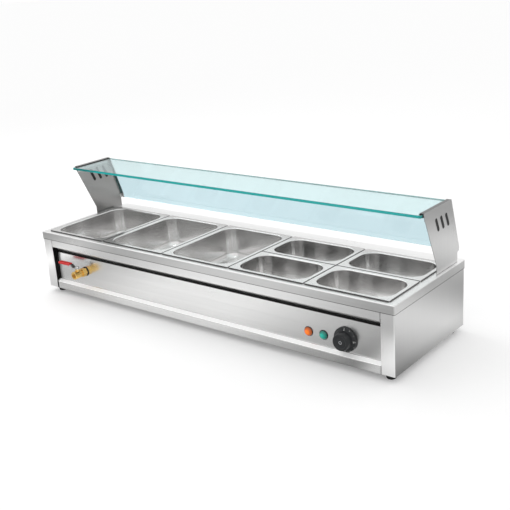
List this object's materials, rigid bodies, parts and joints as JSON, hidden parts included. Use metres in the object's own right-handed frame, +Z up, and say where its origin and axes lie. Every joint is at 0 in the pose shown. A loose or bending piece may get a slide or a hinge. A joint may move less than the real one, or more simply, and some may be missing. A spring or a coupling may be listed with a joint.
{
  "type": "countertop food warmer",
  "caption": "Long countertop food warmer with a heated water well, lift-out steel pans, a glass guard, a drain valve and a thermostat dial.",
  "frame": {"origin": "on the worktop, under the middle of the body", "axes": "+X along the length from the drain valve to the dial, +Y from the operator's side with the controls to the glass guard at the back, +Z up"},
  "size_m": [1.374, 0.4523, 0.409],
  "materials": {
    "body_steel": "brushed along the length",
    "pan_steel": "satin, deep drawn",
    "well_steel": "satin",
    "guard_steel": "brushed",
    "clear_glass": "clear with green edges",
    "black_rubber": "matte",
    "valve_brass": "machined",
    "ball_chrome": "polished",
    "seat_plastic": "smooth",
    "bright_steel": "bright",
    "red_sleeve": "soft vinyl",
    "black_knob": "fine satin",
    "zinc_steel": "zinc plated",
    "orange_lens": "clear tinted",
    "green_lens": "clear tinted",
    "lamp_housing": "satin",
    "element_steel": "dull, heat tinted",
    "copper_tube": "copper",
    "block_plastic": "matte",
    "gland_plastic": "matte",
    "fastener_steel": "bright"
  },
  "bodies": {
    "base": {"bottom_plate": "body_steel", "cable_gland": "gland_plastic", "cross_bars": "well_steel", "divider_bars": "well_steel", "drain_pipe": "bright_steel", "element_nuts": "fastener_steel", "element_supports": "well_steel", "foot_nuts": "fastener_steel", "foot_screws": "fastener_steel", "front_left_foot": "black_rubber", "front_panel": "body_steel", "front_right_foot": "black_rubber", "glass_clips": "guard_steel", "green_lamp_housing": "lamp_housing", "green_lamp_lens": "green_lens", "guard_bolts": "fastener_steel", "guard_nuts": "fastener_steel", "header_rail": "body_steel", "heating_element": "element_steel", "left_glass_channel": "black_rubber", "left_guard_bracket": "guard_steel", "left_guard_mount": "guard_steel", "left_shelf_support": "guard_steel", "left_side_panel": "body_steel", "orange_lamp_housing": "lamp_housing", "orange_lamp_lens": "orange_lens", "rear_glass": "clear_glass", "rear_left_foot": "black_rubber", "rear_panel": "body_steel", "rear_panel_screws": "fastener_steel", "rear_right_foot": "black_rubber", "right_glass_channel": "black_rubber", "right_guard_bracket": "guard_steel", "right_guard_mount": "guard_steel", "right_shelf_support": "guard_steel", "right_side_panel": "body_steel", "sensing_bulb": "copper_tube", "shelf_glass": "clear_glass", "terminal_block": "block_plastic", "thermostat_body": "zinc_steel", "top_cover": "body_steel", "valve_body": "valve_brass", "valve_inlet": "valve_brass", "valve_seats": "seat_plastic", "valve_washer": "black_rubber", "water_well": "well_steel"},
    "half_pan_1": {"half_pan_1": "pan_steel"},
    "half_pan_2": {"half_pan_2": "pan_steel"},
    "half_pan_3": {"half_pan_3": "pan_steel"},
    "quarter_pan_4_front": {"quarter_pan_4_front": "pan_steel"},
    "quarter_pan_4_rear": {"quarter_pan_4_rear": "pan_steel"},
    "quarter_pan_5_front": {"quarter_pan_5_front": "pan_steel"},
    "quarter_pan_5_rear": {"quarter_pan_5_rear": "pan_steel"},
    "valve_handle": {"valve_stem": "bright_steel", "valve_ball": "ball_chrome", "valve_lever": "bright_steel", "lever_sleeve": "red_sleeve", "lever_nut": "bright_steel"},
    "dial": {"thermostat_knob": "black_knob", "thermostat_shaft": "zinc_steel"}
  },
  "joints": [
    {"name": "half_pan_1_lift", "type": "slide", "parent": "base", "child": "half_pan_1", "axis": [0, 0, 1], "range_m": [0, 0.108]},
    {"name": "half_pan_2_lift", "type": "slide", "parent": "base", "child": "half_pan_2", "axis": [0, 0, 1], "range_m": [0, 0.108]},
    {"name": "half_pan_3_lift", "type": "slide", "parent": "base", "child": "half_pan_3", "axis": [0, 0, 1], "range_m": [0, 0.108]},
    {"name": "quarter_pan_4_front_lift", "type": "slide", "parent": "base", "child": "quarter_pan_4_front", "axis": [0, 0, 1], "range_m": [0, 0.108]},
    {"name": "quarter_pan_4_rear_lift", "type": "slide", "parent": "base", "child": "quarter_pan_4_rear", "axis": [0, 0, 1], "range_m": [0, 0.108]},
    {"name": "quarter_pan_5_front_lift", "type": "slide", "parent": "base", "child": "quarter_pan_5_front", "axis": [0, 0, 1], "range_m": [0, 0.108]},
    {"name": "quarter_pan_5_rear_lift", "type": "slide", "parent": "base", "child": "quarter_pan_5_rear", "axis": [0, 0, 1], "range_m": [0, 0.108]},
    {"name": "valve_handle_turn", "type": "hinge", "parent": "base", "child": "valve_handle", "pos_m": [-0.504, -0.214, 0.098], "axis": [0, 0, 1], "range_deg": [0, 90]},
    {"name": "dial_turn", "type": "hinge", "parent": "base", "child": "dial", "pos_m": [0.53, -0.182, 0.087], "axis": [0, 1, 0], "range_deg": [0, 270]}
  ]
}
